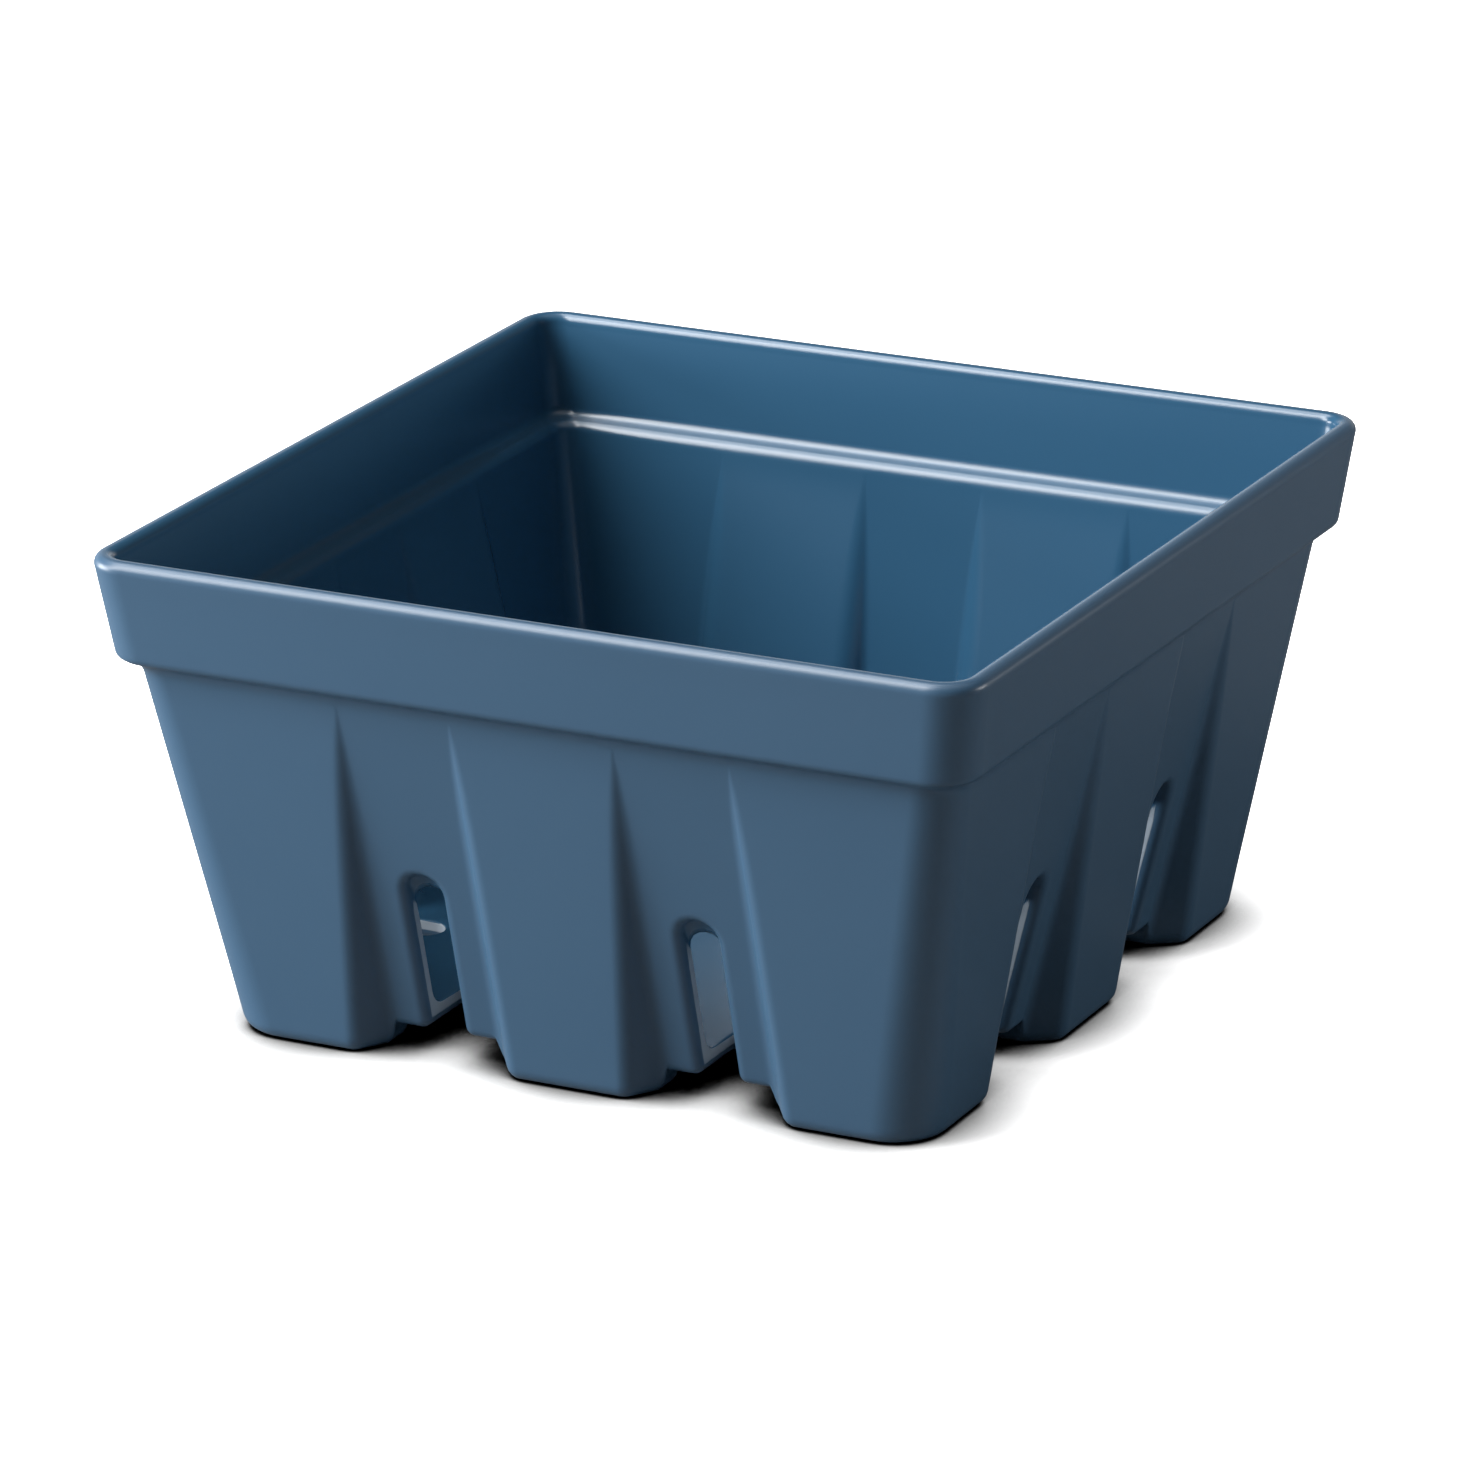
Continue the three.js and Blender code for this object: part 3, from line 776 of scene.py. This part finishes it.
def melamine(finish):
    """Slate blue melamine: faintly mottled, satin outside, glossier inside and painted a deeper blue there
    for the light inside, paler where a slot was ground.
    """
    material = bpy.data.materials.new("slate_blue_melamine")
    material.use_nodes = True
    tree = material.node_tree
    link = tree.links.new
    shader = tree.nodes["Principled BSDF"]
    place = node(tree, "ShaderNodeTexCoord", (-1500, 0))
    inside = node(tree, "ShaderNodeAttribute", (-1500, -300), attribute_name="inside")
    ground = node(tree, "ShaderNodeAttribute", (-1500, -600), attribute_name="ground")

    mottle = noise(tree, place, (-1200, 300), scale=45, detail=4)
    # The inside's own colour is painted light: a deeper blue for the light between the inner walls.
    sides = node(tree, "ShaderNodeMix", (-1200, 0), data_type="RGBA")
    sides.inputs["A"].default_value = finish.colour
    sides.inputs["B"].default_value = finish.inside_painted_light_colour
    link(inside.outputs["Fac"], sides.inputs["Factor"])
    blue = node(tree, "ShaderNodeMix", (-900, 300), data_type="RGBA", blend_type="MULTIPLY")
    blue.inputs["B"].default_value = finish.shade
    link(mottle.outputs["Fac"], blue.inputs["Factor"])
    link(sides.outputs["Result"], blue.inputs["A"])

    chips = noise(tree, place, (-1200, -600), scale=500, detail=5)
    patches = noise(tree, place, (-1200, -1200), scale=90, detail=1)
    uneven = node(tree, "ShaderNodeMath", (-1000, -800), operation="ADD")
    link(patches.outputs["Fac"], uneven.inputs[0])
    link(chips.outputs["Fac"], uneven.inputs[1])
    ragged = node(tree, "ShaderNodeMath", (-1000, -600), operation="MULTIPLY")
    link(uneven.outputs[0], ragged.inputs[0])
    link(ground.outputs["Fac"], ragged.inputs[1])
    strip = ramp(tree, (-800, -600), STRIP_EDGES)
    link(ragged.outputs[0], strip.inputs["Value"])

    scuffs = node(tree, "ShaderNodeMix", (-600, 0), data_type="RGBA")
    scuffs.inputs["B"].default_value = finish.ground_colour
    link(strip.outputs["Result"], scuffs.inputs["Factor"])
    link(blue.outputs["Result"], scuffs.inputs["A"])
    link(scuffs.outputs["Result"], shader.inputs["Base Color"])

    gloss = node(tree, "ShaderNodeMapRange", (-900, -200))
    gloss.inputs["To Min"].default_value = finish.outside_roughness
    gloss.inputs["To Max"].default_value = finish.inside_roughness
    link(inside.outputs["Fac"], gloss.inputs["Value"])
    matt = node(tree, "ShaderNodeMath", (-600, -300), operation="MULTIPLY_ADD", use_clamp=True)
    matt.inputs[1].default_value = STRIP_ROUGHNESS
    link(strip.outputs["Result"], matt.inputs[0])
    link(gloss.outputs["Result"], matt.inputs[2])
    link(matt.outputs[0], shader.inputs["Roughness"])

    skin = noise(tree, place, (-1200, -900), scale=260, detail=2)
    relief = node(tree, "ShaderNodeMath", (-600, -700), operation="MULTIPLY_ADD")
    link(chips.outputs["Fac"], relief.inputs[0])
    link(strip.outputs["Result"], relief.inputs[1])
    faint = node(tree, "ShaderNodeMath", (-800, -900), operation="MULTIPLY")
    faint.inputs[1].default_value = SKIN_SHARE
    link(skin.outputs["Fac"], faint.inputs[0])
    link(faint.outputs[0], relief.inputs[2])
    bump = node(tree, "ShaderNodeBump", (-300, -600))
    bump.inputs["Strength"].default_value = RELIEF_STRENGTH
    bump.inputs["Distance"].default_value = RELIEF_HEIGHT
    link(relief.outputs[0], bump.inputs["Height"])
    link(bump.outputs["Normal"], shader.inputs["Normal"])
    return material


class COLANDER_OT_basket(bpy.types.Operator):
    """Moulds the basket in one piece: an eighth of it is drawn row by row, then mirrored and turned"""

    bl_idname = "colander.basket"
    bl_label = "Mould Basket"
    bl_options = {"REGISTER", "UNDO"}

    def execute(self, context):
        scene = context.scene
        bpy.ops.object.select_all(action="DESELECT")
        piece = mould_eighth(Basket(scene.colander_sizes))
        complete_basket(piece)
        piece.data.materials.append(melamine(scene.colander_finish))
        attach(piece, "root")
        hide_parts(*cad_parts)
        return {"FINISHED"}


def white_floor(scene):
    """A large white floor. In the picture it glows, so that it burns out to white but for a painted contact
    shadow, darkened from the basket's ambient occlusion. The basket mirrors it, and is lit by it, at lower
    levels.
    """
    stage = scene.colander_stage
    bpy.ops.mesh.primitive_plane_add(size=FLOOR_SIZE)
    floor = bpy.context.object
    floor.name = floor.data.name = "studio_floor"
    material = bpy.data.materials.new("white_floor")
    material.use_nodes = True
    tree = material.node_tree
    link = tree.links.new
    tree.nodes.remove(tree.nodes["Principled BSDF"])
    path = node(tree, "ShaderNodeLightPath", (-900, 0))

    # Painted contact shadow: the floor's whiteness and glow in the picture are darkened by the basket's
    # ambient occlusion.
    contact = node(tree, "ShaderNodeAmbientOcclusion", (-1100, -300), samples=CONTACT_SAMPLES)
    contact.inputs["Distance"].default_value = stage.contact_reach
    open_sky = node(tree, "ShaderNodeMapRange", (-1000, -500))
    open_sky.inputs["From Min"].default_value = stage.contact_dark
    link(contact.outputs["AO"], open_sky.inputs["Value"])
    painted_contact_shadow = node(tree, "ShaderNodeMath", (-900, -300), operation="POWER")
    painted_contact_shadow.inputs[1].default_value = stage.contact_depth
    link(open_sky.outputs["Result"], painted_contact_shadow.inputs[0])

    mirrored = node(tree, "ShaderNodeMix", (-650, 0), data_type="RGBA")
    mirrored.inputs["A"].default_value = grey(stage.floor_bounce)
    mirrored.inputs["B"].default_value = grey(stage.floor_mirrored)
    link(path.outputs["Is Glossy Ray"], mirrored.inputs["Factor"])
    shaded = node(tree, "ShaderNodeMath", (-650, -300), operation="MULTIPLY")
    shaded.inputs[1].default_value = stage.floor_seen
    link(painted_contact_shadow.outputs[0], shaded.inputs[0])
    seen = node(tree, "ShaderNodeMix", (-400, 0), data_type="RGBA")
    link(path.outputs["Is Camera Ray"], seen.inputs["Factor"])
    link(mirrored.outputs["Result"], seen.inputs["A"])
    link(shaded.outputs[0], seen.inputs["B"])
    matt = node(tree, "ShaderNodeBsdfDiffuse", (-150, 0))
    link(seen.outputs["Result"], matt.inputs["Color"])

    glowing = node(tree, "ShaderNodeMath", (-400, -300), operation="MULTIPLY")
    link(painted_contact_shadow.outputs[0], glowing.inputs[0])
    link(path.outputs["Is Camera Ray"], glowing.inputs[1])
    glow = node(tree, "ShaderNodeEmission", (-150, -200))
    glow.inputs["Strength"].default_value = stage.floor_glow
    link(glowing.outputs[0], glow.inputs["Color"])
    both = node(tree, "ShaderNodeAddShader", (100, 0))
    link(matt.outputs["BSDF"], both.inputs[0])
    link(glow.outputs["Emission"], both.inputs[1])
    link(both.outputs[0], tree.nodes["Material Output"].inputs["Surface"])
    floor.data.materials.append(material)


def soft_light(name, direction, distance, width, height, power):
    """A rectangular soft light that faces the basket."""
    direction = Vector(direction).normalized()
    bpy.ops.object.light_add(type="AREA", location=direction * distance)
    lamp = bpy.context.object
    lamp.name = name
    lamp.rotation_mode = "QUATERNION"
    lamp.rotation_quaternion = direction.to_track_quat("Z", "Y")
    lamp.data.shape = "RECTANGLE"
    lamp.data.size = width
    lamp.data.size_y = height
    lamp.data.energy = power
    return lamp


def white_room(scene):
    """A dim room with a white ceiling straight above and a low pale backdrop that the camera faces."""
    stage = scene.colander_stage
    world = bpy.data.worlds.new("white_room")
    world.use_nodes = True
    tree = world.node_tree
    link = tree.links.new
    background = tree.nodes["Background"]
    background.inputs["Color"].default_value = grey(1)
    place = node(tree, "ShaderNodeTexCoord", (-900, 0))
    parts = node(tree, "ShaderNodeSeparateXYZ", (-700, 0))
    link(place.outputs["Generated"], parts.inputs["Vector"])
    ceiling = ramp(tree, (-450, 0), (CEILING_START, 1), stage.horizon_light, stage.ceiling_light)
    link(parts.outputs["Z"], ceiling.inputs["Value"])
    facing = node(tree, "ShaderNodeVectorMath", (-700, -250), operation="DOT_PRODUCT")
    facing.inputs[1].default_value = (-math.sin(stage.camera_yaw), math.cos(stage.camera_yaw), 0)
    link(place.outputs["Generated"], facing.inputs[0])
    backdrop = ramp(tree, (-450, -250), BACKDROP_EDGES, 0, stage.backdrop_light)
    link(facing.outputs["Value"], backdrop.inputs["Value"])
    fade = ramp(tree, (-450, -500), BACKDROP_FADE, 1, 0)
    link(parts.outputs["Z"], fade.inputs["Value"])
    both = node(tree, "ShaderNodeMath", (-200, -100), operation="MULTIPLY_ADD")
    link(backdrop.outputs["Result"], both.inputs[0])
    link(fade.outputs["Result"], both.inputs[1])
    link(ceiling.outputs["Result"], both.inputs[2])
    link(both.outputs[0], background.inputs["Strength"])
    scene.world = world


def photo_camera(scene):
    """The camera where the photograph was taken from."""
    stage = scene.colander_stage
    yaw, pitch, roll = stage.camera_yaw, stage.camera_pitch, stage.camera_roll
    forward = Vector((-math.sin(yaw) * math.cos(pitch), math.cos(yaw) * math.cos(pitch), -math.sin(pitch)))
    right = Vector((math.cos(yaw), math.sin(yaw), 0))
    up = right.cross(forward)
    tilted_right = right * math.cos(roll) + up * math.sin(roll)
    tilted_up = up * math.cos(roll) - right * math.sin(roll)
    place = Vector(stage.camera_aim) - forward * stage.camera_distance
    axes = Matrix((tilted_right, tilted_up, -forward)).transposed()
    bpy.ops.object.camera_add(location=place, rotation=axes.to_euler())
    camera = bpy.context.object
    camera.name = "photo_camera"
    camera.data.sensor_width = SENSOR_WIDTH
    camera.data.lens = stage.focal_pixels / PHOTO_PIXELS * SENSOR_WIDTH
    camera.data.clip_start = NEAREST_SEEN
    scene.camera = camera


class COLANDER_OT_stage(bpy.types.Operator):
    """Sets the white floor, the soft lights and the camera"""

    bl_idname = "colander.stage"
    bl_label = "Set Stage"
    bl_options = {"REGISTER", "UNDO"}

    def execute(self, context):
        scene = context.scene
        bpy.ops.object.select_all(action="DESELECT")
        stage = scene.colander_stage
        white_floor(scene)
        white_room(scene)
        soft_light("key_light", stage.key_direction, stage.light_distance, stage.key_width, stage.key_height,
                   stage.key_power)
        top = soft_light("top_light", stage.top_direction, stage.light_distance, stage.top_width,
                         stage.top_length, stage.top_power)
        top.visible_diffuse = False  # it only gives the glints on the lip and the ledge
        soft_light("left_light", stage.left_direction, stage.left_distance, stage.left_size, stage.left_size,
                   stage.left_power)
        soft_light("right_light", stage.right_direction, stage.right_distance, stage.right_size,
                   stage.right_height, stage.right_power)
        photo_camera(scene)
        scene.view_settings.view_transform = "Standard"
        return {"FINISHED"}


class COLANDER_PT_sidebar(bpy.types.Panel):
    """Lists the colander's sizes, finish and studio"""

    bl_idname = "COLANDER_PT_sidebar"
    bl_label = "Berry Colander"
    bl_space_type = "VIEW_3D"
    bl_region_type = "UI"
    bl_category = "Colander"

    def draw(self, context):
        layout = self.layout
        scene = context.scene
        layout.operator(COLANDER_OT_basket.bl_idname)
        layout.operator(COLANDER_OT_stage.bl_idname)
        for group in (scene.colander_sizes, scene.colander_finish, scene.colander_stage):
            box = layout.box()
            for name in group.__annotations__:
                box.prop(group, name)


CLASSES = (
    ColanderSizes,
    ColanderFinish,
    ColanderStage,
    COLANDER_OT_basket,
    COLANDER_OT_stage,
    COLANDER_PT_sidebar,
)


def register():
    for kind in CLASSES:
        bpy.utils.register_class(kind)
    bpy.types.Scene.colander_sizes = bpy.props.PointerProperty(type=ColanderSizes)
    bpy.types.Scene.colander_finish = bpy.props.PointerProperty(type=ColanderFinish)
    bpy.types.Scene.colander_stage = bpy.props.PointerProperty(type=ColanderStage)


def unregister():
    del bpy.types.Scene.colander_stage
    del bpy.types.Scene.colander_finish
    del bpy.types.Scene.colander_sizes
    for kind in reversed(CLASSES):
        bpy.utils.unregister_class(kind)


def main():
    register()
    bpy.ops.colander.basket()
    bpy.ops.colander.stage()


if __name__ == "__main__":
    main()
